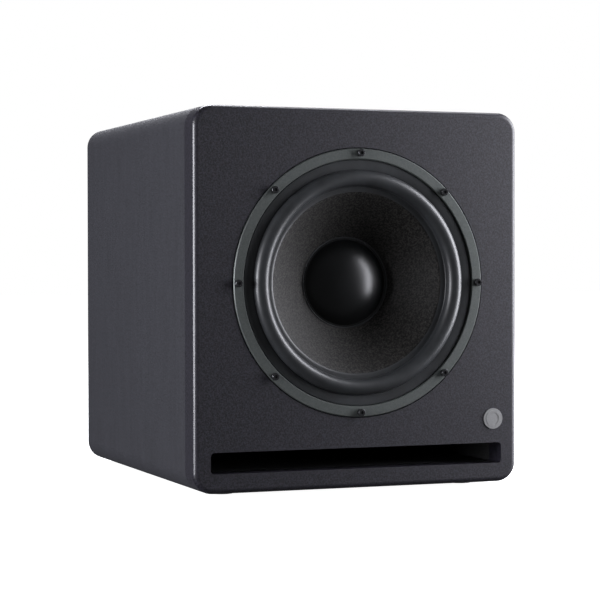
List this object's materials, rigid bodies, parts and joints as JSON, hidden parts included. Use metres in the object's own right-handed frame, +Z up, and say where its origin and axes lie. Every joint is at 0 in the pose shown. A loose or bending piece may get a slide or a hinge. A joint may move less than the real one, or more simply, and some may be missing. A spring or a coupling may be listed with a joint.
{
  "type": "active subwoofer",
  "caption": "Black box studio subwoofer with a recessed ten inch driver, a wide port slot under it, and an amplifier plate with knobs, sockets and fins on the rear.",
  "frame": {"origin": "centre of the object's box at the level of the feet's undersides", "axes": "+X to the right seen from the front, +Y from the front baffle to the rear, +Z up"},
  "size_m": [0.332, 0.403, 0.364],
  "materials": {
    "baffle_paint": "fine speckled matt paint on fibreboard",
    "vinyl": "grained black vinyl",
    "fibreboard": "raw fibreboard",
    "wadding": "soft fibre",
    "badge_grey": "satin",
    "rubber": "matt",
    "surround_rubber": "satin",
    "rim_grey": "fine satin paint",
    "foam": "closed foam",
    "black_steel": "black oxide",
    "zinc_steel": "zinc",
    "spider_cloth": "woven",
    "copper_braid": "braid",
    "ferrite": "matt",
    "terminal_plastic": "satin",
    "cone_paper": "woven coated paper",
    "cap_black": "smooth satin",
    "former": "thin foil",
    "copper": "enamelled wire",
    "heatsink_black": "black anodised",
    "plate_black": "powder coat",
    "circuit_green": "solder mask",
    "transformer_tape": "wrapped film",
    "can_black": "sleeve",
    "knob_black": "satin",
    "connector_black": "satin",
    "nickel": "nickel",
    "lamp": "clear",
    "wire_red": "soft",
    "wire_black": "soft"
  },
  "bodies": {
    "cabinet": {"front_baffle": "baffle_paint", "side_panel_left": "fibreboard", "side_panel_right": "fibreboard", "top_panel": "fibreboard", "bottom_panel": "fibreboard", "rear_panel": "baffle_paint", "vinyl_wrap": "vinyl", "port_shelf": "fibreboard", "window_brace": "fibreboard", "wadding_pads": "wadding", "badge": "badge_grey", "rubber_feet": "rubber", "foot_screws": "zinc_steel", "driver_basket": "rim_grey", "driver_gasket": "foam", "driver_screws": "black_steel", "tee_nuts": "zinc_steel", "surround": "surround_rubber", "spider": "spider_cloth", "tinsel_leads": "copper_braid", "magnet_top_plate": "zinc_steel", "magnet_ring": "ferrite", "pole_yoke": "zinc_steel", "magnet_boot": "rubber", "terminal_block": "terminal_plastic", "heatsink": "heatsink_black", "control_plate": "plate_black", "input_plate": "plate_black", "power_plate": "plate_black", "amp_screws": "black_steel", "amp_back_box": "zinc_steel", "wire_grommet": "rubber", "main_circuit_board": "circuit_green", "toroidal_transformer": "transformer_tape", "filter_capacitors": "can_black", "power_transistors": "connector_black", "control_pots": "nickel", "xlr_input_left": "connector_black", "xlr_input_right": "connector_black", "jack_output_left": "connector_black", "jack_output_right": "connector_black", "power_inlet": "connector_black", "rocker_frame": "connector_black", "toggle_bushing": "nickel", "status_led": "lamp", "speaker_wire_red": "wire_red", "speaker_wire_black": "wire_black", "wire_clip": "terminal_plastic"},
    "cone_assembly": {"cone": "cone_paper", "dust_cap": "cap_black", "voice_coil_former": "former", "voice_coil_winding": "copper"},
    "volume_control": {"volume_knob": "knob_black"},
    "crossover_control": {"crossover_knob": "knob_black"},
    "power_switch": {"power_rocker": "knob_black"},
    "phase_lever": {"phase_toggle": "nickel"},
    "fuse_tray": {"fuse_drawer": "connector_black"},
    "latch_left": {"xlr_latch_left": "nickel"},
    "latch_right": {"xlr_latch_right": "nickel"}
  },
  "joints": [
    {"name": "cone_travel", "type": "slide", "parent": "cabinet", "child": "cone_assembly", "axis": [0, -1, 0], "range_m": [-0.008, 0.008], "stiffness_N_per_m": 3000, "deforming": ["surround", "spider", "tinsel_leads"]},
    {"name": "volume_turn", "type": "hinge", "parent": "cabinet", "child": "volume_control", "pos_m": [0.034, 0.1925, 0.3], "axis": [0, 1, 0], "range_deg": [-150, 150]},
    {"name": "crossover_turn", "type": "hinge", "parent": "cabinet", "child": "crossover_control", "pos_m": [0.086, 0.1925, 0.3], "axis": [0, 1, 0], "range_deg": [-150, 150]},
    {"name": "power_rocker_tilt", "type": "hinge", "parent": "cabinet", "child": "power_switch", "pos_m": [0.092, 0.1795, 0.102], "axis": [-1, 0, 0], "range_deg": [0, 16]},
    {"name": "phase_toggle_tilt", "type": "hinge", "parent": "cabinet", "child": "phase_lever", "pos_m": [0.034, 0.1855, 0.262], "axis": [1, 0, 0], "range_deg": [0, 24]},
    {"name": "fuse_drawer_slide", "type": "slide", "parent": "cabinet", "child": "fuse_tray", "axis": [0, 1, 0], "range_m": [0, 0.018]},
    {"name": "latch_left_press", "type": "slide", "parent": "cabinet", "child": "latch_left", "axis": [0, -1, 0], "range_m": [0, 0.002], "stiffness_N_per_m": 300},
    {"name": "latch_right_press", "type": "slide", "parent": "cabinet", "child": "latch_right", "axis": [0, -1, 0], "range_m": [0, 0.002], "stiffness_N_per_m": 300}
  ]
}
